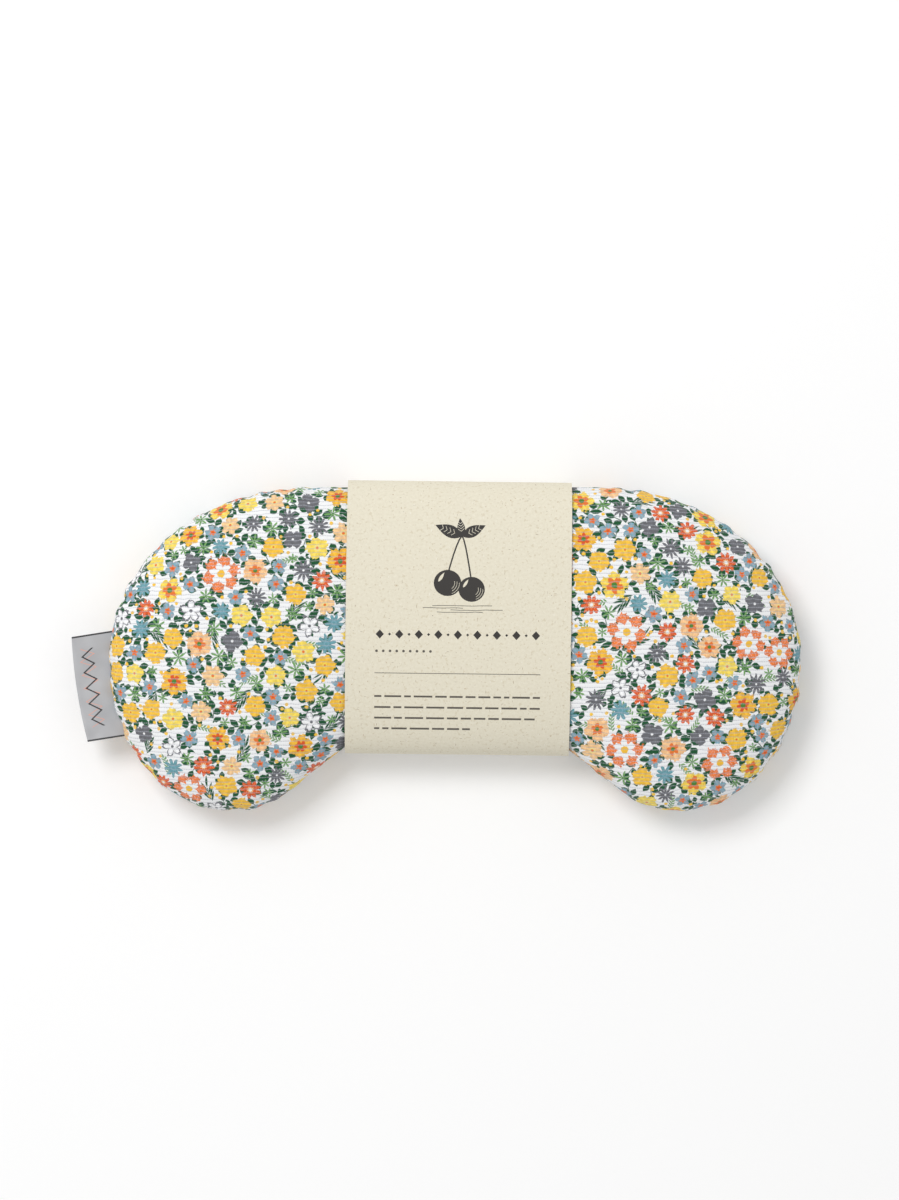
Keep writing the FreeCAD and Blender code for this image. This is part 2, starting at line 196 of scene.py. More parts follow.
# ---- sewing and filling ----
# The stitches gather the seam into small waves, about one for every three stitches, and the cloth
# puckers behind them. The filling then presses the cloth out, as a cloth simulation with the seam
# held. Only its creases are kept: the shape between them is the measured one.
pucker_depth = 0.00042
pucker_reach = 0.009           # how far in from the seam a pucker dies away
crease_limit = 0.0012
crease_under_band = 0.0002
smooth_passes = 60             # that part the creases from the shape between them
pressed_flat = 0.0004          # cloth lower than this lies flat on the table
band_middle_x, band_width = 0.0011, 0.0736     # where the paper band holds the cloth flat
band_clearance, band_fade = 0.001, 0.012       # beside it, where the cloth comes free
cut_all = np.zeros((len(start), 2))
cut_all[:count] = flat
cut_all[back_index] = flat
rim_all = np.concatenate([on_rim, np.zeros(len(start) - count, bool)])
all_faces = np.vstack([front_faces, back_faces])


def waves(place, counts, seed):
    """Uneven waves round the seam, between about -1 and 1."""
    chance = random.Random(seed)
    turn = place / round_trip * 2 * math.pi
    total = 0
    for number in counts:
        drift = 1.2 * np.sin(5 * turn + chance.uniform(0, 6.28))
        total = total + np.sin(number * turn + chance.uniform(0, 6.28) + drift)
    return total / math.sqrt(len(counts))


def clear_of_band(x):
    """1 where the cloth is free, down to 0 under the paper band."""
    past = np.abs(x - middle[0] - band_middle_x) - band_width / 2
    return np.clip((past - band_clearance) / band_fade, 0, 1)


def select_only(*objects):
    bpy.ops.object.select_all(action="DESELECT")
    for obj in objects:
        obj.select_set(True)
    bpy.context.view_layer.objects.active = objects[0]


scene = bpy.context.scene


def cloth_object(name, places, faces):
    mesh = bpy.data.meshes.new(name)
    mesh.from_pydata([tuple(p) for p in places], [], [tuple(int(i) for i in f) for f in faces])
    made = bpy.data.objects.new(name, mesh)
    scene.collection.objects.link(made)
    select_only(made)
    return made


def vertex_places(obj):
    places = np.zeros(len(obj.data.vertices) * 3)
    obj.data.vertices.foreach_get("co", places)
    return places.reshape(-1, 3)


draft = cloth_object("cloth_draft", start, all_faces)
normals = np.array([n.vector[:] for n in draft.data.vertex_normals])
place, _, _, reach = way_round(cut_all)
from_seam = np.maximum(0, round_value(cut_reach, place) - reach)
free = clear_of_band(start[:, 0])
swing = waves(place, (66, 81, 47), 3) - 0.5            # puckers go in further than out
start += normals * (pucker_depth * swing * np.exp(-from_seam / pucker_reach) * free)[:, None]
start[rim_all, 2] += (pucker_depth * waves(place, (59, 73), 8) * free)[rim_all]
draft.data.vertices.foreach_set("co", start.ravel())
filled = start.copy()
draft.shape_key_add(name="filled")
cut_key = draft.shape_key_add(name="cut")
cut_key.data.foreach_set("co", np.column_stack([cut_all, np.zeros(len(start))]).ravel())
held = draft.vertex_groups.new(name="seam")
held.add([int(i) for i in np.flatnonzero(rim_all)], 1.0, "REPLACE")
cloth = draft.modifiers.new("Cloth", "CLOTH")
cloth.settings.rest_shape_key = cut_key
cloth.settings.vertex_group_mass = "seam"
cloth.settings.mass = 0.001
cloth.settings.bending_stiffness = 0.05
cloth.settings.use_pressure = True
cloth.settings.uniform_pressure_force = 12
cloth.settings.effector_weights.gravity = 0
cloth.collision_settings.use_collision = False
for step in range(1, 21):
    scene.frame_set(step)
done = draft.evaluated_get(bpy.context.evaluated_depsgraph_get())
filled = vertex_places(done)
scene.frame_set(1)
bpy.data.objects.remove(draft)

edges = np.unique(np.sort(all_faces[:, [[0, 1], [1, 2], [2, 0]]].reshape(-1, 2)), axis=0)
neighbours = np.bincount(edges.ravel(), minlength=len(start))[:, None]


def smoothed(values, times):
    for _ in range(times):
        total = np.zeros_like(values)
        np.add.at(total, edges[:, 0], values[edges[:, 1]])
        np.add.at(total, edges[:, 1], values[edges[:, 0]])
        values = (values + total / neighbours) / 2
    return values


crease = filled - start
crease = crease - smoothed(crease, smooth_passes)
limit = crease_under_band + (crease_limit - crease_under_band) * free
limit = np.where(start[:, 2] < pressed_flat, 0, limit)
size = np.linalg.norm(crease, axis=1)
filled = start + crease * (np.minimum(size, limit) / np.maximum(size, 1e-9))[:, None]
filled[:, 2] = np.maximum(filled[:, 2], 0)

# ---- the two printed panels ----
# Each panel is one piece of ribbed cotton. At the seam it folds in on itself and runs on as the
# seam allowance inside the cushion, where the label's two ends are caught between the two.
cloth_thickness = 0.0008
fold_depth = 0.0006
seam_allowance = 0.008
allowance_gap = 0.00003        # half the gap between the two allowances
label_gap = 0.00036            # the same where they hold the label's ends
bend_point = Vector((-0.108278, -0.012648, 0.014))     # on the line where the label bends
label_along = Vector((-0.1546598, 0.9879678, 0))
label_out = Vector((-0.9879678, -0.1546598, 0))
label_width = 0.035
parting_depth = 0.012          # how far in from the bend line the allowances stand further apart
parting_fade = 0.003
mm = 1000                      # millimetres in a metre


def seam_parting(x, y):
    """Half the gap between the allowances: wider round the label's ends."""
    beside = abs((Vector((x, y, 0)) - bend_point).dot(label_along)) - label_width / 2
    away = -(Vector((x, y, 0)) - bend_point).dot(label_out) - parting_depth
    share = min(1, max(0, 1 - max(beside, away) / parting_fade))
    return allowance_gap + (label_gap - allowance_gap) * share


def lay_map(obj, name, spots):
    """Keeps where each point of a piece lies on the flat cloth, in millimetres."""
    corners = np.zeros(len(obj.data.loops), int)
    obj.data.loops.foreach_get("vertex_index", corners)
    layer = obj.data.uv_layers.new(name=name)
    layer.data.foreach_set("uv", np.array(spots)[corners].ravel())


def thicken(obj, thickness, offset, sharp_angle, inner_material=0):
    """Gives a sheet its thickness, and smooth shading up to an angle in degrees."""
    wall = obj.modifiers.new("wall", "SOLIDIFY")
    wall.thickness = thickness
    wall.offset = offset
    wall.material_offset = inner_material
    bpy.ops.object.modifier_apply(modifier="wall")
    bpy.ops.object.shade_smooth_by_angle(angle=math.radians(sharp_angle))


def stand_for(piece, source, body="cushion"):
    """Lets a piece ride on a body in the place of one CAD node."""
    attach(piece, body)
    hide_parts(source)


def sewn_panel(name, side, faces):
    """One panel: its filled outside, and its allowance turned in at the seam."""
    used = np.unique(faces)
    renumber = np.zeros(len(start), int)
    renumber[used] = np.arange(len(used))
    panel = cloth_object(name, filled[used], renumber[faces])
    lay_map(panel, "cut", cut_all[used] * mm)
    finer = panel.modifiers.new("finer", "SUBSURF")
    finer.levels = finer.render_levels = 1
    bpy.ops.object.modifier_apply(modifier="finer")

    shape = bmesh.new()
    shape.from_mesh(panel.data)
    cut_map = shape.loops.layers.uv["cut"]
    follow, cut_at = {}, {}
    for edge in shape.edges:
        if edge.is_boundary:
            loop = edge.link_loops[0]
            follow[loop.vert] = loop.link_loop_next.vert
            cut_at[loop.vert] = loop[cut_map].uv.copy()
    loop_verts = [next(iter(follow))]
    while follow[loop_verts[-1]] is not loop_verts[0]:
        loop_verts.append(follow[loop_verts[-1]])
    total = len(loop_verts)
    inward, cut_outward = [], []
    for i, vert in enumerate(loop_verts):
        before, after = loop_verts[i - 1], loop_verts[(i + 1) % total]
        ahead = (after.co - before.co).to_2d().normalized()
        cut_ahead = (cut_at[after] - cut_at[before]).normalized()
        inward.append(Vector((-ahead.y, ahead.x)) * side)
        cut_outward.append(Vector((cut_ahead.y, -cut_ahead.x)) * side)

    def turned_in(i, inset):
        """A place further in than a point of the seam."""
        spot = loop_verts[i].co.to_2d() + inward[i] * (fold_depth + inset)
        return spot.x, spot.y, loop_verts[i].co.z + side * seam_parting(spot.x, spot.y)

    rows = [loop_verts]
    for inset in (seam_allowance / 2, seam_allowance):
        rows.append([shape.verts.new(turned_in(i, inset)) for i in range(total)])
        for vert, new, outward in zip(loop_verts, rows[-1], cut_outward):
            cut_at[new] = cut_at[vert] + outward * inset * mm
    for i, vert in enumerate(loop_verts):
        vert.co = turned_in(i, 0)
    for outer, inner in zip(rows, rows[1:]):
        for i in range(total):
            j = (i + 1) % total
            face = shape.faces.new((outer[j], outer[i], inner[i], inner[j]))
            for corner in face.loops:
                corner[cut_map].uv = cut_at[corner.vert]
    shape.normal_update()
    shape.to_mesh(panel.data)
    shape.free()
    thicken(panel, cloth_thickness, -1, 55)
    return panel


front = sewn_panel("front_cloth", 1, front_faces)
back = sewn_panel("back_cloth", -1, back_faces)
for panel, source in ((front, "front_panel"), (back, "back_panel")):
    stand_for(panel, source)

# ---- the print on the cloth ----
# A small all-over flower print: leafy sprigs first and flowers over them. Every motif has its own
# round plot on the cut, the largest laid first. Each face of the cloth remembers the two sprigs
# and the two flowers nearest to it, and the material draws them.
print_half = (130, 68)         # millimetres of cut, from its middle
print_grid = 0.5
flower_gap, sprig_gap = 0.12, -0.35    # between plots: sprigs may overlap a little
most_room = 9.0                # millimetres, more than any plot needs
batch = 4000                   # faces looked at together
sharpness = 6                  # how fast ink sets in past a printed edge, per millimetre


def ink(red, green, blue):
    """A colour as a printer writes it, 0 to 255, as the linear values that the material takes."""
    tones = [c / 255 for c in (red, green, blue)]
    return [c / 12.92 if c <= 0.04045 else ((c + 0.055) / 1.055) ** 2.4 for c in tones] + [1.0]


ground = ink(244, 245, 246)
leaf_green, fern_green, eye_green = ink(30, 86, 52), ink(112, 158, 94), ink(80, 132, 58)
orange, red_orange, peach = ink(233, 122, 54), ink(222, 92, 44), ink(244, 200, 148)
golden, lemon, pale_lemon = ink(244, 192, 66), ink(246, 218, 92), ink(240, 224, 146)
sky, teal, slate = ink(128, 170, 186), ink(106, 158, 168), ink(108, 109, 114)
# how many, plot radius, petals, how narrow they are, their waist, core, eye, outline, and colours
flowers = [
    (13, 5.8, 6, 0.6, 0.62, 0.62, 0.20, 0.0, orange, ground, golden),
    (28, 4.4, 5, 0.5, 0.62, 0.62, 0.22, 0.0, lemon, orange, eye_green),
    (32, 4.2, 6, 0.5, 0.64, 0.50, 0.18, 0.0, golden, red_orange, eye_green),
    (26, 4.0, 5, 0.4, 0.72, 0.50, 0.16, 0.0, peach, orange, eye_green),
    (18, 3.7, 5, 0.8, 0.45, 0.30, 0.14, 0.16, ground, ground, slate),
    (26, 3.5, 6, 0.6, 0.60, 0.30, 0.14, 0.0, peach, pale_lemon, orange),
    (60, 3.5, 5, 0.4, 0.72, 0.26, 0.10, 0.0, golden, lemon, orange),
    (34, 3.4, 5, 0.5, 0.68, 0.34, 0.12, 0.0, lemon, pale_lemon, orange),
    (44, 3.4, 4, 0.5, 0.55, 0.30, 0.12, 0.0, slate, slate, ground),
    (26, 3.3, 11, 1.2, 0.40, 0.22, 0.10, 0.0, slate, slate, ground),
    (36, 3.2, 9, 1.0, 0.45, 0.30, 0.16, 0.0, teal, sky, teal),
    (36, 3.2, 9, 0.8, 0.55, 0.34, 0.16, 0.0, red_orange, peach, ground),
    (130, 2.7, 5, 0.6, 0.50, 0.42, 0.16, 0.0, sky, orange, red_orange),
    (90, 2.6, 7, 1.8, 0.08, 0.16, 0.08, 0.0, fern_green, fern_green, leaf_green),
    (90, 1.8, 6, 1.5, 0.10, 0.16, 0.08, 0.0, fern_green, fern_green, leaf_green),
    (420, 0.6, 3, 0.3, 0.80, 0.30, 0.10, 0.0, golden, lemon, golden),
]
# how many, plot radius, leaf length, half its width, its lean, their spacing, and the colour
sprigs = [
    (50, 4.6, 4.6, 0.45, 0.45, 1.6, leaf_green),
    (260, 4.2, 3.7, 1.10, 0.80, 3.1, leaf_green),
    (60, 3.4, 1.7, 0.30, 0.75, 1.1, fern_green),
    (260, 3.2, 3.5, 1.05, 0.90, 2.9, leaf_green),
    (320, 2.3, 3.1, 0.95, 0.85, 2.8, leaf_green),
    (300, 1.5, 2.5, 0.85, 0.80, 2.7, leaf_green),
]


def lay_out(chance, kinds, gap):
    """Packs round plots over the cut: yields each motif's kind, middle, radius and turn."""
    wide, high = [round(half / print_grid) for half in print_half]
    room = np.full((2 * high + 1, 2 * wide + 1), most_room)     # how far each spot is from any plot
    rows, cols = np.mgrid[-high:high + 1, -wide:wide + 1] * print_grid
    for kind in kinds:
        for _ in range(kind[0]):
            size = kind[1] * chance.uniform(0.9, 1.08)
            spots = np.flatnonzero(room.ravel() >= size + gap)
            if not len(spots):
                continue
            pick = spots[chance.integers(len(spots))]
            spot = np.array([cols.ravel()[pick], rows.ravel()[pick]])
            row, col = divmod(int(pick), 2 * wide + 1)
            span = round((size + most_room) / print_grid)
            near = (slice(max(0, row - span), row + span), slice(max(0, col - span), col + span))
            away = np.hypot(cols[near] - spot[0], rows[near] - spot[1]) - size
            room[near] = np.minimum(room[near], away)
            yield kind, spot, size, chance.uniform(0, 2 * math.pi)


def nearest_two(centres, plots):
    """For every face of the cloth, the two plots that it lies in or nearest to."""
    chosen = np.zeros((len(centres), 2), int)
    for low in range(0, len(centres), batch):
        part = centres[low:low + batch]
        away = np.hypot(part[:, None, 0] - plots[None, :, 0], part[:, None, 1] - plots[None, :, 1])
        chosen[low:low + batch] = np.argpartition(away - plots[None, :, 2], 1, axis=1)[:, :2]
    return chosen


def keep_on_faces(panel, label, values):
    """Stores a vector or a colour for every face of a panel."""
    colour = values.shape[1] == 4
    kept = panel.data.attributes.new(label, "FLOAT_COLOR" if colour else "FLOAT_VECTOR", "FACE")
    kept.data.foreach_set("color" if colour else "vector", values.astype(np.float32).ravel())


def keep_motifs(panel, centres, name, vectors, tones, motifs):
    """Stores on every face of a panel the numbers and colours of the two motifs nearest to it."""
    plots, numbers, colours = (np.array(part) for part in zip(*motifs))
    chosen = nearest_two(centres, plots)
    for slot in (0, 1):
        picked = chosen[:, slot]
        for i, label in enumerate(vectors):
            keep_on_faces(panel, f"{name}_{label}_{slot}", numbers[picked, 3 * i:3 * i + 3])
        for i, label in enumerate(tones):
            keep_on_faces(panel, f"{name}_{label}_{slot}", colours[picked, i])


flower_vectors, flower_tones = ("place", "shape", "heart", "drawn"), ("petal", "core", "eye")
sprig_vectors, sprig_tones = ("place", "stem", "lean"), ("tone",)


def print_cloth(panel, seed):
    """Lays the print out over a panel's cut."""
    chance = np.random.default_rng(seed)
    corners = np.zeros(len(panel.data.loops) * 2, np.float32)
    panel.data.uv_layers["cut"].data.foreach_get("uv", corners)
    centres = corners.reshape(-1, 4, 2).mean(1)
    motifs = []
    for kind, spot, size, turn in lay_out(chance, flowers, flower_gap):
        _, _, petals, narrow, waist, core, eye, outline, *tones = kind
        numbers = [*spot, turn, size, petals, narrow, core, eye, waist, outline, 0, 0]
        motifs.append(([*spot, size], numbers, tones))
    keep_motifs(panel, centres, "flower", flower_vectors, flower_tones, motifs)
    motifs = []
    for kind, spot, size, turn in lay_out(chance, sprigs, sprig_gap):
        _, _, leaf, half, lean, spacing, tone = kind
        root = spot - size * np.array([math.cos(turn), math.sin(turn)])
        stem = max(0.1, 2 * size - leaf)
        numbers = [*root, turn, stem, leaf, half, lean, spacing, chance.uniform(-0.06, 0.06)]
        motifs.append(([*spot, size], numbers, [tone]))
    keep_motifs(panel, centres, "sprig", sprig_vectors, sprig_tones, motifs)


class Number:
    """A number worked out in a material. Adding to it, multiplying it and so on adds a Math node."""

    def __init__(self, socket):
        self.tree, self.socket = socket.id_data, socket

    def calc(self, operation, *others):
        made = node(self.tree, "ShaderNodeMath", operation=operation)
        for socket, value in zip(made.inputs, (self, *others)):
            feed(socket, value)
        return Number(made.outputs[0])

    def clamped(self):
        """The same number, held between 0 and 1."""
        self.socket.node.use_clamp = True
        return self

    __add__ = partialmethod(calc, "ADD")
    __sub__ = partialmethod(calc, "SUBTRACT")
    __rsub__ = partialmethod(calc, "MULTIPLY_ADD", -1.0)
    __mul__ = partialmethod(calc, "MULTIPLY")
    __truediv__ = partialmethod(calc, "DIVIDE")
    __lt__ = partialmethod(calc, "LESS_THAN")
    __gt__ = partialmethod(calc, "GREATER_THAN")
    __abs__ = partialmethod(calc, "ABSOLUTE")


def feed(socket, value):
    """Joins a number or another socket to a socket, or sets it to a plain value."""
    if isinstance(value, Number):
        value = value.socket
    if isinstance(value, bpy.types.NodeSocket):
        socket.id_data.links.new(value, socket)
    else:
        socket.default_value = value


def node(tree, kind, values=None, **settings):
    """A new node with its settings and its named inputs."""
    made = tree.nodes.new(kind)
    for label, value in settings.items():
        setattr(made, label, value)
    for label, value in (values or {}).items():
        feed(made.inputs[label], value)
    return made


def noise(spot, scale, detail):
    made = node(spot.id_data, "ShaderNodeTexNoise", {"Vector": spot, "Scale": scale, "Detail": detail})
    return Number(made.outputs[0])


def mixed(share, first, second):
    made = node(share.tree, "ShaderNodeMix", data_type="RGBA")
    for number, value in ((0, share), (6, first), (7, second)):
        feed(made.inputs[number], value)
    return made.outputs[2]


def scaled(colour, share):
    """A colour made darker or lighter."""
    made = node(share.tree, "ShaderNodeVectorMath", operation="SCALE")
    feed(made.inputs[0], colour)
    feed(made.inputs["Scale"], share)
    return made.outputs[0]


def split(vector):
    parts = node(vector.id_data, "ShaderNodeSeparateXYZ", {"Vector": vector}).outputs
    return [Number(part) for part in parts]


def from_place(cut, place):
    """How far a point of the cut lies from a motif's place along X and Y, and less the motif's turn."""
    offset = node(cut.id_data, "ShaderNodeVectorMath", operation="SUBTRACT")
    feed(offset.inputs[0], cut)
    feed(offset.inputs[1], place)
    return split(offset.outputs[0])


def group(name, vectors, colours, outputs):
    """A new node group: its tree, its inputs by name and its outputs by name."""
    tree = bpy.data.node_groups.new(name, "ShaderNodeTree")
    for labels, side, kind in ((("cut", *vectors), "INPUT", "NodeSocketVector"),
                               (colours, "INPUT", "NodeSocketColor")):
        for label in labels:
            tree.interface.new_socket(label.capitalize(), in_out=side, socket_type=kind)
    for label in outputs:
        kind = "NodeSocketColor" if label == "Colour" else "NodeSocketFloat"
        tree.interface.new_socket(label, in_out="OUTPUT", socket_type=kind)
    return tree, tree.nodes.new("NodeGroupInput").outputs, tree.nodes.new("NodeGroupOutput").inputs


# A flower: petals as the lobes of a cosine round its middle, with a core, an eye, and brush marks.
flower, taken, given = group("printed_flower", flower_vectors, flower_tones, ("Colour", "Mask"))
x, y, minus_turn = from_place(taken["Cut"], taken["Place"])
size, petals, narrow = split(taken["Shape"])
core, eye, waist = split(taken["Heart"])
outline = split(taken["Drawn"])[0]
brush, dabs = noise(taken["Cut"], 1.0, 2.0), noise(taken["Cut"], 2.1, 1.0)
reach = (x * x + y * y).calc("SQRT") / size * (brush * 0.7 + 0.62)
half_turn = (y.calc("ARCTAN2", x) + minus_turn) * (petals * 0.5)
lobe = abs(half_turn.calc("COSINE")).calc("POWER", narrow)
notch = abs(half_turn.calc("SINE"))
petal_edge = (1 - waist) * lobe + waist
core_edge = core * (notch * 0.45 + 0.55)
sharp = size * sharpness


def inside(edge):
    """1 inside an edge of the flower and 0 outside it, over a tenth of a millimetre or so."""
    return ((edge - reach) * sharp + 0.5).clamped()


streaks = (half_turn * 4).calc("COSINE") * reach
shade = brush * 0.6 + lobe * 0.26 + streaks * 0.1 + 0.5
dabbed = (dabs * 9 - 4.7).clamped() * 0.34
brushed = scaled(mixed(dabbed, taken["Petal"], taken["Core"]), shade)
with_core = mixed(inside(core_edge), brushed, taken["Core"])
with_eye = mixed(inside(eye), with_core, taken["Eye"])
line = (outline > 0) * (1 - inside(petal_edge - outline))
feed(given["Colour"], mixed(line, with_eye, slate))
feed(given["Mask"], inside(petal_edge))

# A sprig: leaves lean off a bent stem, left and right in turn, and one ends it.
sprig, taken, given = group("printed_sprig", sprig_vectors, sprig_tones, ("Colour", "Mask"))
x, y, minus_turn = from_place(taken["Cut"], taken["Place"])
stem, leaf, half = split(taken["Stem"])
lean, spacing, bend = split(taken["Lean"])
turn_sine, turn_cosine = minus_turn.calc("SINE"), minus_turn.calc("COSINE")
along = x * turn_cosine - y * turn_sine
across = x * turn_sine + y * turn_cosine - bend * along * along
stalk_half = 0.14              # millimetres
brush = noise(taken["Cut"], 1.3, 2.0)
full = half * (brush * 0.5 + 0.8)


def leaf_mask(out, off):
    """1 inside a pointed leaf, from how far out along it a point is and how far off its middle."""
    edge = full * ((out / leaf).clamped() * math.pi).calc("SINE")
    return ((edge - abs(off)) * sharpness + 0.25).clamped()


aside = abs(across)
staggered = (across < 0) * (spacing * 0.5) + along
foot = staggered - aside / lean.calc("TANGENT")
step = (foot / spacing).calc("ROUND") * spacing
off_foot = foot - step
out = off_foot * lean.calc("COSINE") + aside / lean.calc("SINE")
side_leaf = leaf_mask(out, off_foot * lean.calc("SINE")) * (step > -0.1) * (step < stem)
end_leaf = leaf_mask(along - stem, across)
stalk_line = ((stalk_half - aside) * sharpness + 0.5).clamped() * (along > 0) * (along < stem)
feed(given["Colour"], scaled(taken["Tone"], brush * 0.8 + 0.55))
feed(given["Mask"], side_leaf.calc("MAXIMUM", end_leaf).calc("MAXIMUM", stalk_line))

# Ribs run along the cloth's length. The ink lies on them and hardly reaches the grooves between. The grooves
# are painted a grey that is partly the bare cloth showing through the print and partly painted shade in the
# grooves.
rib_pitch = 1.4                # millimetres
warp_pitch = 0.8
rib, taken, given = group("cloth_rib", (), (), ("Rib", "Groove"))
along, across, _ = split(taken["Cut"])
drift = noise(taken["Cut"], 0.35, 1.0) * 0.9 + across
ridge = (drift * (2 * math.pi / rib_pitch)).calc("COSINE")
warp = (along * (2 * math.pi / warp_pitch)).calc("COSINE")
fibre = noise(taken["Cut"], 3.0, 3.0)
feed(given["Rib"], fibre * 0.5 + warp * 0.12 + ridge * 0.5)
feed(given["Groove"], ((ridge * -3 - 1.7) * (warp * 0.35 + fibre * 1.7)).clamped())


def new_material(name, roughness, sheen=0.0):
    """A material, its node tree, and the sockets of its shader."""
    made = bpy.data.materials.new(name)
    made.use_nodes = True
    shader = made.node_tree.nodes["Principled BSDF"].inputs
    shader["Roughness"].default_value = roughness
    shader["Sheen Weight"].default_value = sheen
    return made, made.node_tree, shader


def set_look(shader, colour, height, distance, strength=0.5):
    """Gives a shader its colour, and a height that shows as relief."""
    feed(shader["Base Color"], colour)
    values = {"Height": height, "Distance": distance, "Strength": strength}
    feed(shader["Normal"], node(shader["Normal"].id_data, "ShaderNodeBump", values).outputs[0])


cotton, tree, shader = new_material("printed_rib_cotton", 0.9, 0.1)
shader["Specular IOR Level"].default_value = 0.25
cut_at = node(tree, "ShaderNodeUVMap", uv_map="cut").outputs[0]
colour = ground
for name, source, vectors, tones in (("sprig", sprig, sprig_vectors, sprig_tones),
                                     ("flower", flower, flower_vectors, flower_tones)):
    for slot in (0, 1):
        drawn = node(tree, "ShaderNodeGroup", node_tree=source)
        feed(drawn.inputs["Cut"], cut_at)
        for label in vectors + tones:
            read = node(tree, "ShaderNodeAttribute", attribute_name=f"{name}_{label}_{slot}")
            feed(drawn.inputs[label.capitalize()], read.outputs["Vector" if label in vectors else "Color"])
        colour = mixed(Number(drawn.outputs["Mask"]), colour, drawn.outputs["Colour"])
ribs = node(tree, "ShaderNodeGroup", node_tree=rib)
feed(ribs.inputs["Cut"], cut_at)
# the groove grey: painted shade in the rib grooves on the white ground, and bare cloth where it breaks up the
# ink
groove_shade_and_bare = Number(ribs.outputs["Groove"]) * 0.52
set_look(shader, mixed(groove_shade_and_bare, colour, ink(172, 174, 184)), ribs.outputs["Rib"], 0.00012, 0.55)
for panel, seed in ((front, 11), (back, 12)):
    print_cloth(panel, seed)
    panel.data.materials.append(cotton)

# ---- sewing threads ----
# White polyester thread. The machine seam runs round on both allowances, and slanted hand
# stitches shut the gap at the lower right that the cushion was filled through. One stitch of each
# kind is modelled, and every other is a copy of it.
thread_radius = 0.00015
machine_sag = 0.00005          # how far a stitch's middle sinks between its two holes
hand_bow = 0.00012             # how far a hand stitch stands out over the groove
lobe_middle = middle + np.array([0.06, -0.002])


def loose_parts(name):
    """The middle, the longest direction and the length of every separate solid in a CAD node."""
    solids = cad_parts[name]
    corners = np.zeros(len(solids.data.loops), int)
    solids.data.loops.foreach_get("vertex_index", corners)
    spots, joined = np.unique((vertex_places(solids) * 1e6).round(), axis=0, return_inverse=True)
    three = joined.ravel()[corners].reshape(-1, 3)
    part = np.arange(len(spots))
    while True:
        lowest = part[three].min(1)
        before = part.copy()
        for side in range(3):
            np.minimum.at(part, three[:, side], lowest)
        part = part[part]
        if (part == before).all():
            break
    found = []
    for label in np.unique(part):
        own = spots[part == label] / 1e6
        centre = (own.min(0) + own.max(0)) / 2
        _, _, ways = np.linalg.svd(own - own.mean(0), full_matrices=False)
        found.append((centre, ways[0], np.ptp((own - centre) @ ways[0])))
    return found


def edit_all(obj, change, **settings):
    """Runs one operator on the whole of a piece's mesh."""
    select_only(obj)
    bpy.ops.object.mode_set(mode="EDIT")
    bpy.ops.mesh.select_all(action="SELECT")
    change(**settings)
    bpy.ops.object.mode_set(mode="OBJECT")


def lay_along_x(obj):
    """Turns a piece that was made along Z."""
    edit_all(obj, bpy.ops.transform.rotate, value=math.pi / 2, orient_axis="Y", center_override=(0, 0, 0))


def one_stitch(length, sag):
    """A stitch along X: a thin round thread cut into four, its middle moved down by sag."""
    bpy.ops.mesh.primitive_cylinder_add(vertices=6, radius=thread_radius, depth=length)
    stitch = bpy.context.object
    for share in (-0.25, 0, 0.25):
        edit_all(stitch, bpy.ops.mesh.bisect, plane_co=(0, 0, share * length), plane_no=(0, 0, 1))
    lay_along_x(stitch)
    for vert in stitch.data.vertices:
        vert.co.z -= sag * (1 - (2 * vert.co.x / length) ** 2)
    return stitch


def lay_copies(name, source, finish, first, places):
    """A piece in a CAD node's place: copies of a shape, each at its middle with its X and Z directions."""
    copies = []
    for centre, ahead, up in places:
        across = Vector(up).cross(Vector(ahead)).normalized()
        up = Vector(ahead).cross(across).normalized()
        turned = Matrix((Vector(ahead).normalized(), across, up)).transposed().to_4x4()
        copy = bpy.data.objects.new(name, first.data.copy())
        copy.data.transform(Matrix.Translation(Vector(centre)) @ turned)
        scene.collection.objects.link(copy)
        copies.append(copy)
    bpy.data.objects.remove(first)
    select_only(*copies)
    bpy.ops.object.join()
    made = copies[0]
    made.name = name
    edit_all(made, bpy.ops.mesh.normals_make_consistent, inside=False)
    bpy.ops.object.shade_smooth()
    made.data.materials.append(finish)
    stand_for(made, source)


thread, tree, shader = new_material("white_thread", 0.55, 0.3)
spot = node(tree, "ShaderNodeTexCoord").outputs["Object"]
twist = node(tree, "ShaderNodeTexWave", {"Vector": spot, "Scale": 900.0, "Distortion": 1.5},
             bands_direction="DIAGONAL")
strand_relief_and_shade = Number(twist.outputs[1])
# the grooves between the twisted strands stand lower and are painted darker, as painted shade
set_look(shader, mixed(strand_relief_and_shade, ink(226, 224, 218), ink(250, 249, 245)), strand_relief_and_shade, 0.00005)

for name, source, up in (("needle_thread", "seam_needle_thread", (0, 0, 1)),
                         ("bobbin_thread", "seam_bobbin_thread", (0, 0, -1))):
    stitches = loose_parts(source)
    first = one_stitch(stitches[0][2], machine_sag)
    lay_copies(name, source, thread, first, [(centre, way, up) for centre, way, _ in stitches])

rim_places = filled[rim_all]
stitches = loose_parts("closing_stitches")
places = []
for centre, way, _ in stitches:
    nearest = np.argsort(np.hypot(*(rim_places[:, :2] - centre[:2]).T))[:2]
    outwards = centre[:2] - lobe_middle
    outwards = np.append(outwards / np.hypot(*outwards), 0)
    places.append((rim_places[nearest].mean(0) + outwards * thread_radius, way, outwards))
lay_copies("hand_stitches", "closing_stitches", thread, one_stitch(stitches[0][2], -hand_bow), places)

# ---- cherry stones ----
# The filling: washed and dried cherry stones, a little longer than wide, each with a low ridge
# from tip to tip where its two halves meet. One is modelled, and the rest are copies of it.
stone_length, stone_width, stone_ridge = 0.0096, 0.0088, 0.0003
stone_sides, stone_bands = 8, 6
ridge_way = (0.3, 0.5, 0.81)   # every ridge lies square to this and to its stone's own length

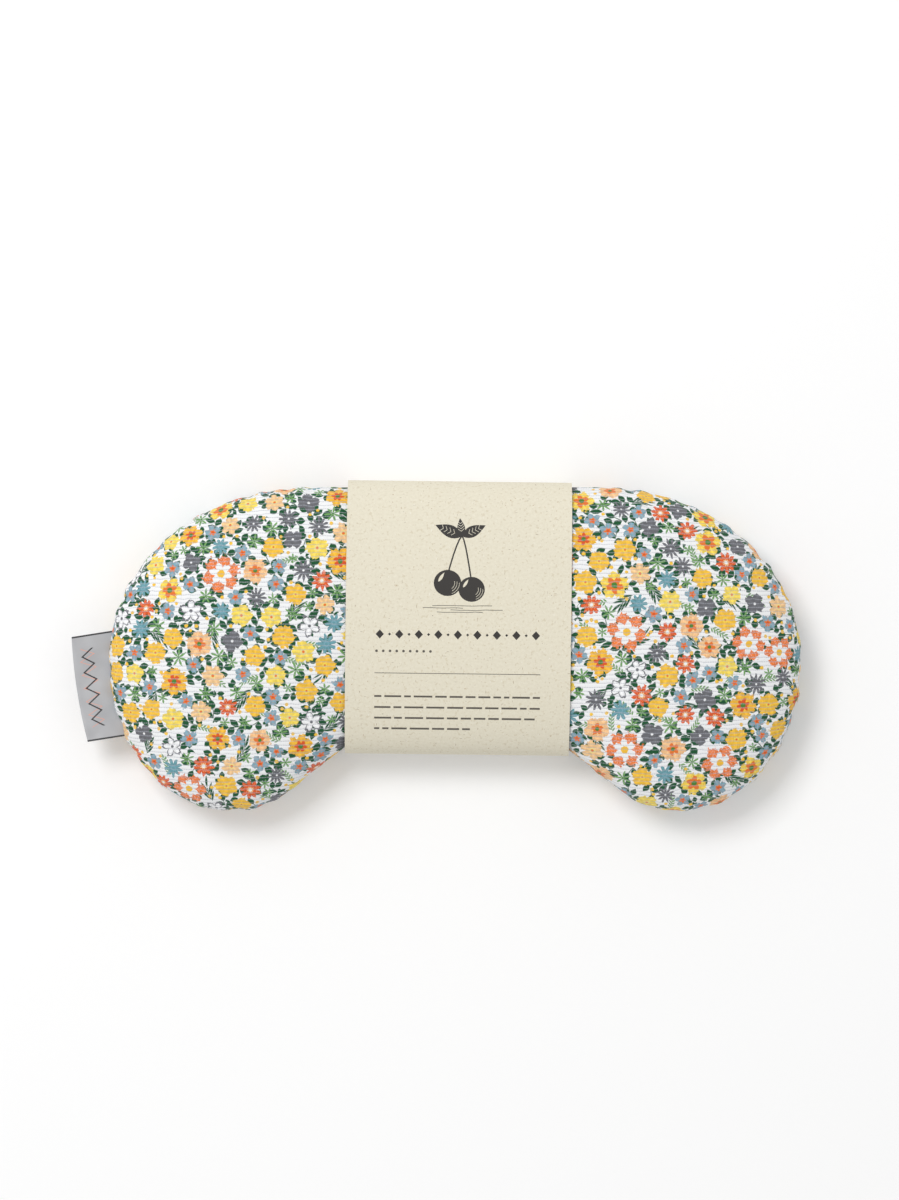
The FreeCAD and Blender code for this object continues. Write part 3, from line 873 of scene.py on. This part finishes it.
shell, tree, shader = new_material("cherry_stone", 0.7)
spot = node(tree, "ShaderNodeTexCoord").outputs["Object"]
pores = noise(spot, 1400.0, 3.0)
tan = mixed(noise(spot, 90.0, 2.0), ink(176, 132, 88), ink(222, 188, 142))
set_look(shader, mixed(pores * 0.5, tan, ink(128, 88, 56)), pores, 0.0001)


def one_stone():
    """A cherry stone along X: a stretched ball, drawn out into a ridge along its upper side."""
    bpy.ops.mesh.primitive_uv_sphere_add(segments=stone_sides, ring_count=stone_bands, radius=stone_width / 2)
    stone = bpy.context.object
    lay_along_x(stone)
    stretch = (stone_length / stone_width, 1, 1)
    edit_all(stone, bpy.ops.transform.resize, value=stretch, center_override=(0, 0, 0))
    for vert in stone.data.vertices:
        around = math.hypot(vert.co.y, vert.co.z)
        if vert.co.z > 0.99 * around > 0:
            vert.co.z += stone_ridge * around / (stone_width / 2)
    return stone


for name, source in (("left_stones", "stones_left_lobe"), ("middle_stones", "stones_waist"),
                     ("right_stones", "stones_right_lobe")):
    places = [(centre, way, np.cross(way, ridge_way)) for centre, way, _ in loose_parts(source)]
    lay_copies(name, source, shell, one_stone(), places)

# ---- side label ----
# A woven satin ribbon folded once across, with both ends caught in the seam. Its cut edges are
# dark selvedges, and a plain zigzag is woven into it.
label_reach = 0.01025          # from the bend line to the folded edge
label_inside = 0.0085
ply = 0.00025
ply_middle = 0.000175          # of each ply, from the ribbon's middle
turn_steps, straight_steps, width_steps = 6, 22, 20
label_curl = 0.0009            # how far its free edge lifts, more at the lower corner
label_bow = 0.0010             # how far its corners stand up from its middle
edge_bow = 0.0011              # how far the corners of the free edge are drawn in
woven_half = 13.0              # millimetres either side of the middle that the zigzags fill
selvedge_width = 0.55          # millimetres

run_in = np.linspace(-label_inside, label_reach - ply_middle, straight_steps)
path = [(d, ply_middle) for d in run_in]
for step in range(1, turn_steps):
    angle = math.pi * step / turn_steps
    path.append((label_reach - ply_middle + ply_middle * math.sin(angle), ply_middle * math.cos(angle)))
path += [(d, -ply_middle) for d in reversed(run_in)]
run = np.concatenate([[0], np.cumsum(np.hypot(*np.diff(np.array(path), axis=0).T))])
points, ribbon_at = [], []
for (out, lift), along in zip(path, run):
    free_share = max(0, out - 0.001) / label_reach
    for w in np.linspace(-0.5, 0.5, width_steps + 1):
        curl = label_curl * free_share ** 2 * (1 - 1.3 * w) - label_bow * free_share * (1 - 4 * w * w)
        drawn_in = edge_bow * free_share * 4 * w * w
        spot = bend_point + label_out * (out - drawn_in) + label_along * (w * label_width)
        points.append((spot.x, spot.y, seam_height + lift + curl))
        ribbon_at.append((w * label_width * mm, along * mm))
faces = []
for i in range(len(path) - 1):
    for j in range(width_steps):
        low = i * (width_steps + 1) + j
        faces.append((low, low + 1, low + width_steps + 2, low + width_steps + 1))
label = cloth_object("side_label", points, faces)
lay_map(label, "ribbon", ribbon_at)
thicken(label, ply, 0, 50)

satin, tree, shader = new_material("grey_satin_ribbon", 0.42, 0.25)
shader["Anisotropic"].default_value = 0.4
ribbon = node(tree, "ShaderNodeUVMap", uv_map="ribbon").outputs[0]
across, along, _ = split(ribbon)
from_edge, from_fold = abs(across), abs(along - run[-1] * mm / 2)


def laid(spot, stretch, turn=0.0):
    """A place on a surface, stretched and turned for a pattern."""
    values = {"Vector": spot, "Scale": stretch, "Rotation": (0, 0, turn)}
    return node(spot.id_data, "ShaderNodeMapping", values).outputs[0]


def zigzag(tone, row, colour, swing, period, thick):
    """A woven zigzag line along the label, at a distance from the fold."""
    line = across.calc("PINGPONG", period) * (swing / period) + row
    woven = (abs(from_fold - line) < thick) * (from_edge < woven_half)
    return mixed(woven, tone, colour)


threads = noise(laid(ribbon, (0.7, 6.0, 1.0)), 2.0, 3.0)
# slow clouds of painted sheen, with the weave's threads, make the ribbon's grey lighter or darker
painted_sheen_and_threads = noise(ribbon, 0.12, 1.0) * 0.9 + threads * 0.2
tone = mixed(painted_sheen_and_threads, ink(150, 150, 153), ink(196, 197, 200))
tone = zigzag(tone, 2.4, ink(222, 158, 140), 5.0, 2.2, 0.24)
tone = zigzag(tone, 3.2, ink(30, 28, 30), 3.8, 2.6, 0.40)
selvedge = from_edge > label_width * mm / 2 - selvedge_width
set_look(shader, mixed(selvedge, tone, ink(44, 44, 46)), threads, 0.00006)
label.data.materials.append(satin)
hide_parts("label_sewn_ends", "label_loop")
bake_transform(label)

# ---- paper band ----
# A strip of uncoated flecked paper wrapped round the waist, its two ends glued one on the other
# at the back. The front is printed: a sprig with two cherries over a row of lozenges, a rule and
# lines of fine dashes. The print is cut into the sheet's faces while it is still flat.
paper = 0.0003
band_top_y, band_bottom_y = 0.0553, -0.0342        # the two folds of its inner face, from the middle
band_rise, band_depth = 0.017325, 0.01311          # its inner face above and below the seam
fullness = 0.42
overlap_from_y, overlap = 0.006, 0.018
glue_room = 0.00044
edge_flare = 0.0004                                # how far the cut edges stand off
print_left, print_right = -26.1, 28.05             # millimetres, from the cushion's middle
band_turn = 0.012                                  # radians it was pushed askew, seen from the front
sheet_step, sheet_columns = 0.0013, 25             # the grid that the flat sheet is cut on


def ease(t):
    t = np.clip(t, 0, 1)
    return t * t * (3 - 2 * t)


fold_middle, fold_half = (band_top_y + band_bottom_y) / 2, (band_top_y - band_bottom_y) / 2
first_angle = math.degrees(math.asin((overlap_from_y - fold_middle) / fold_half))
last_angle = 360 + math.degrees(math.asin((overlap_from_y + overlap - fold_middle) / fold_half))
angles = np.linspace(first_angle, last_angle, 800)
sine, cosine = np.sin(np.radians(angles)), np.cos(np.radians(angles))
share = (1 - sine ** 2) ** fullness
over = seam_height + (band_rise + paper) * share
under = seam_height - (band_depth + paper) * (1 - (1 - share) ** 3)
drop_from, drop_to = 285, first_angle + 352        # where the outer end comes to lie under the inner one
drop = glue_room * ease((angles - drop_from) / (drop_to - drop_from))
section_y = fold_middle + (fold_half + paper) * sine
section_z = np.where(cosine < 0, over, under) - drop
section_run = np.concatenate([[0], np.cumsum(np.hypot(np.diff(section_y), np.diff(section_z)))])
facing = (angles > 90) & (angles < 270)
strip_length = section_run[-1]


def run_at(y):
    """How far along the strip the front's print line at y millimetres lies."""
    return float(np.interp(-y / mm, -section_y[facing], section_run[facing]))


def curve(points_in):
    """An outline given in millimetres on the front, as anticlockwise points of the flat strip."""
    outline = [(x / mm, run_at(y)) for x, y in points_in]
    turning = sum(a[0] * b[1] - b[0] * a[1] for a, b in zip(outline, outline[1:] + outline[:1]))
    return outline if turning > 0 else outline[::-1]


def round_spot(x, y, radius, squash=1.0, sides=28):
    turns = [2 * math.pi * i / sides for i in range(sides)]
    return curve([(x + radius * math.cos(t), y + radius * squash * math.sin(t)) for t in turns])


def leaf_outline(x, y, angle, length, width):
    """A pointed leaf from its stalk at x, y."""
    points_in = []
    for side in (1, -1):
        for i in range(10):
            t = i / 10 if side == 1 else 1 - i / 10
            half = side * width / 2 * math.sin(math.pi * t ** 0.8)
            points_in.append((x + length * t * math.cos(angle) - half * math.sin(angle),
                              y + length * t * math.sin(angle) + half * math.cos(angle)))
    return curve(points_in)


def stroke(points_in, thick):
    """A line of even thickness through points."""
    left, right = [], []
    for i, (x, y) in enumerate(points_in):
        before, after = points_in[max(0, i - 1)], points_in[min(len(points_in) - 1, i + 1)]
        dx, dy = after[0] - before[0], after[1] - before[1]
        size = math.hypot(dx, dy)
        left.append((x - dy / size * thick / 2, y + dx / size * thick / 2))
        right.append((x + dy / size * thick / 2, y - dx / size * thick / 2))
    return curve(left + right[::-1])


def stalk(x, y):
    """The bent line of a cherry's stalk, from where the two meet down to x, y."""
    return [(2.0 + (x - 2.0) * t, 37.5 + (y - 37.5) * t ** 1.4) for t in (0, 0.2, 0.4, 0.6, 0.8, 1.0)]


def block(left, right, y, high):
    return curve([(left, y - high / 2), (right, y - high / 2), (right, y + high / 2), (left, y + high / 2)])


black, cut_out, grey = [], [], []
black += [round_spot(-2.6, 22.0, 4.5, 0.95), round_spot(5.3, 20.0, 4.3, 0.95)]
cut_out += [leaf_outline(-5.6, 22.4, 1.0, 3.6, 1.0), leaf_outline(2.5, 20.6, 1.0, 3.2, 0.9)]
for x, y, radius in ((-2.6, 22.0, 3.9), (5.3, 20.0, 3.7)):
    for ring in range(3):
        bow = [math.radians(-68 + 14 * i + 7 * ring) for i in range(6)]
        out = radius * (1 - 0.2 * ring)
        cut_out.append(stroke([(x + out * math.cos(t), y + 0.95 * out * math.sin(t)) for t in bow], 0.13))
black += [stroke(stalk(-2.3, 25.8), 0.5), stroke(stalk(5.0, 23.8), 0.5)]
for angle, long in ((2.75, 9.5), (0.45, 8.5), (1.7, 6.0)):
    black.append(leaf_outline(2.0, 37.3, angle, long, 3.9 * long / 9))
    for vein in (0.28, 0.42, 0.56, 0.70):
        at = (2.0 + long * vein * math.cos(angle), 37.3 + long * vein * math.sin(angle))
        for side in (0.9, -0.9):
            tip = (at[0] + 1.3 * math.cos(angle + side), at[1] + 1.3 * math.sin(angle + side))
            cut_out.append(stroke([at, tip], 0.14))
hatch = random.Random(21)
for row, (left, right) in enumerate(((-7.5, 12.0), (-10.6, 2.5), (-1.5, 15.5), (-6.0, 9.0))):
    y = 14.6 - 0.7 * row
    bends = [(left + (right - left) * i / 6, y + hatch.uniform(-0.12, 0.12)) for i in range(7)]
    grey.append(stroke(bends, 0.2))
lozenges = 17
for i in range(lozenges):
    x = print_left + (print_right - print_left) * (i + 0.5) / lozenges
    wide, high = (1.35, 1.5) if i % 2 == 0 else (0.5, 0.5)
    black.append(curve([(x - wide, 5.1), (x, 5.1 - high), (x + wide, 5.1), (x, 5.1 + high)]))
for i in range(9):
    grey.append(round_spot(print_left + 0.6 + i * 2.2, -0.4, 0.45, 1.0, 10))
grey.append(block(print_left, print_right, -7.6, 0.22))
for y, line_end in ((-15.2, print_right), (-18.8, print_right), (-22.3, print_right), (-25.8, 5.3)):
    x = print_left
    while x < line_end - 1.2:
        wide = min(hatch.uniform(1.6, 6.4), line_end - x)
        grey.append(block(x, x + wide, y, 0.62))
        x += wide + 0.95

half_width = band_width / 2
steps_along = round(strip_length / sheet_step)
spots = []
for i in range(steps_along + 1):
    for x in np.linspace(-half_width, half_width, sheet_columns):
        spots.append(Vector((x + band_middle_x, strip_length * i / steps_along)))
rings = []
for outline in black + cut_out + grey:
    rings.append(list(range(len(spots), len(spots) + len(outline))))
    spots += [Vector((x, y)) for x, y in outline]
flat_spots, _, sheet_faces, _, _, inside_of = geometry.delaunay_2d_cdt(spots, [], rings, 0, 1e-7, True)


def bent_round(spot):
    """Where a point of the flat strip lies on the wrapped band."""
    near = [spot.y - 0.0005, spot.y, spot.y + 0.0005]
    (y_before, y, y_after), (z_before, z, z_after) = [
        np.interp(near, section_run, line) for line in (section_y, section_z)]
    dy, dz = y_after - y_before, z_after - z_before
    size = math.hypot(dy, dz)
    out_y, out_z = dz / size, -dy / size
    edge = abs(spot.x - band_middle_x) / half_width
    ripple = 0.6 + 0.4 * math.sin(spot.y * 140 + 3 * spot.x / half_width)
    stand = edge_flare * edge ** 8 * ripple * ease((z - seam_height) / 0.006)
    x = spot.x + middle[0] + band_turn * (y - fold_middle)
    y += middle[1] - band_turn * (spot.x - band_middle_x)
    return (x, y + out_y * stand, z + out_z * stand)


band = cloth_object("paper_wrap", [bent_round(p) for p in flat_spots], [f[::-1] for f in sheet_faces])
lay_map(band, "strip", [(spot.x * mm, spot.y * mm) for spot in flat_spots])
paper_face, black_face, grey_face = 0, 1, 2
outline_face = [black_face] * len(black) + [paper_face] * len(cut_out) + [grey_face] * len(grey)
for face, rings_in in zip(band.data.polygons, inside_of):
    face.material_index = min([outline_face[ring] for ring in rings_in], default=paper_face)

pulp_height, pulp_strength = 0.00008, 0.4
stock, tree, shader = new_material("flecked_paper", 0.85)
shader["Specular IOR Level"].default_value = 0.3
strip = node(tree, "ShaderNodeUVMap", uv_map="strip").outputs[0]
pulp = noise(strip, 3.5, 4.0)
cloudy = (noise(strip, 1.1, 6.0) * 1.5 - 0.25).clamped()
tone = mixed(cloudy, ink(227, 220, 199), ink(242, 237, 219))
tone = mixed(pulp * 0.4, tone, ink(212, 203, 180))
# pale clouds first, then specks and fibres: how fine, how rare, colour, stretch and turn
for scale, least, colour, stretch, turn in (
        (0.9, 0.62, ink(220, 211, 188), (1, 1, 1), 0.3),
        (1.7, 0.765, ink(92, 76, 60), (1, 1, 1), 0.0),
        (1.2, 0.74, ink(180, 154, 118), (1, 1, 1), 0.6),
        (1.4, 0.735, ink(150, 132, 108), (0.35, 2.4, 1), 0.5),
        (1.4, 0.735, ink(164, 144, 116), (2.2, 0.35, 1), 1.1),
        (1.6, 0.72, ink(250, 247, 238), (2.4, 0.4, 1), 0.2)):
    found = noise(laid(strip, stretch, turn), scale, 1.0)
    tone = mixed(((found - least) * 18).clamped(), tone, colour)
set_look(shader, tone, pulp, pulp_height, pulp_strength)
band.data.materials.append(stock)
for name, light, dark in (("black_print", ink(52, 48, 44), ink(30, 28, 27)),
                          ("grey_print", ink(104, 98, 90), ink(70, 66, 60))):
    printed, tree, shader = new_material(name, 0.7)
    pulp = noise(node(tree, "ShaderNodeUVMap", uv_map="strip").outputs[0], 3.5, 4.0)
    set_look(shader, mixed(pulp, dark, light), pulp, pulp_height, pulp_strength)
    band.data.materials.append(printed)
for _ in range(3):             # the other side of the sheet isn't printed
    band.data.materials.append(stock)
thicken(band, paper, -1, 40, inner_material=3)
stand_for(band, "paper_band", "band")

# The dried glue between the two ends is a thin cloudy film.
film, tree, shader = new_material("dried_glue", 0.35)
cloud = noise(node(tree, "ShaderNodeTexCoord").outputs["Object"], 300.0, 3.0)
set_look(shader, mixed(cloud, ink(226, 220, 198), ink(244, 241, 228)), cloud, 0.0001)
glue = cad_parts["band_glue"]
glue.data.materials.clear()
glue.data.materials.append(film)

# ---- floor, light and camera ----
# The cushion lies on a plain white table, lit softly from the upper left, and is seen from
# straight above through a long lens.
picture_width = 0.2967         # how much of the table the picture spans, at the seam's height
camera_height = 1.5            # above the seam


def seen_share(tree):
    """1 where the camera sees a thing directly, in a gloss or through it, and 0 where it only lights."""
    path = node(tree, "ShaderNodeLightPath").outputs
    seen = Number(path["Is Camera Ray"])
    for label in ("Is Glossy Ray", "Is Transmission Ray"):
        seen = seen.calc("MAXIMUM", path[label])
    return seen


bpy.ops.mesh.primitive_plane_add(size=6, location=(0, 0, -0.0001))
floor = bpy.context.object
floor.name = "floor"
white, tree, shader = new_material("white_table", 0.8)
shader["Base Color"].default_value = (0.9, 0.9, 0.9, 1)
shader["Specular IOR Level"].default_value = 0.2
shader["Emission Color"].default_value = (1, 1, 1, 1)
feed(shader["Emission Strength"], seen_share(tree) * 0.12)
floor.data.materials.append(white)

world = bpy.data.worlds.new("soft_room")
scene.world = world
world.use_nodes = True
sky_node = world.node_tree.nodes["Background"]
feed(sky_node.inputs["Strength"], seen_share(world.node_tree) * 0.38 + 0.62)
sky_node.inputs["Color"].default_value = (1, 1, 1, 1)

lamp = bpy.data.objects.new("window", bpy.data.lights.new("window", "AREA"))
scene.collection.objects.link(lamp)
lamp.data.size = 0.7
lamp.data.energy = 14
lamp.location = (-0.62, 0.72, 1.5)
lamp.rotation_mode = "QUATERNION"
lamp.rotation_quaternion = (Vector((0, 0, 0)) - lamp.location).to_track_quat("-Z", "Y")

camera = bpy.data.objects.new("camera", bpy.data.cameras.new("camera"))
scene.collection.objects.link(camera)
camera.location = (0.00446, 0.0154, seam_height + camera_height)
camera.data.sensor_fit = "HORIZONTAL"
camera.data.sensor_width = 36
camera.data.lens = camera.data.sensor_width * camera_height / picture_width
camera.data.clip_end = 20
scene.camera = camera
scene.view_settings.view_transform = "Standard"
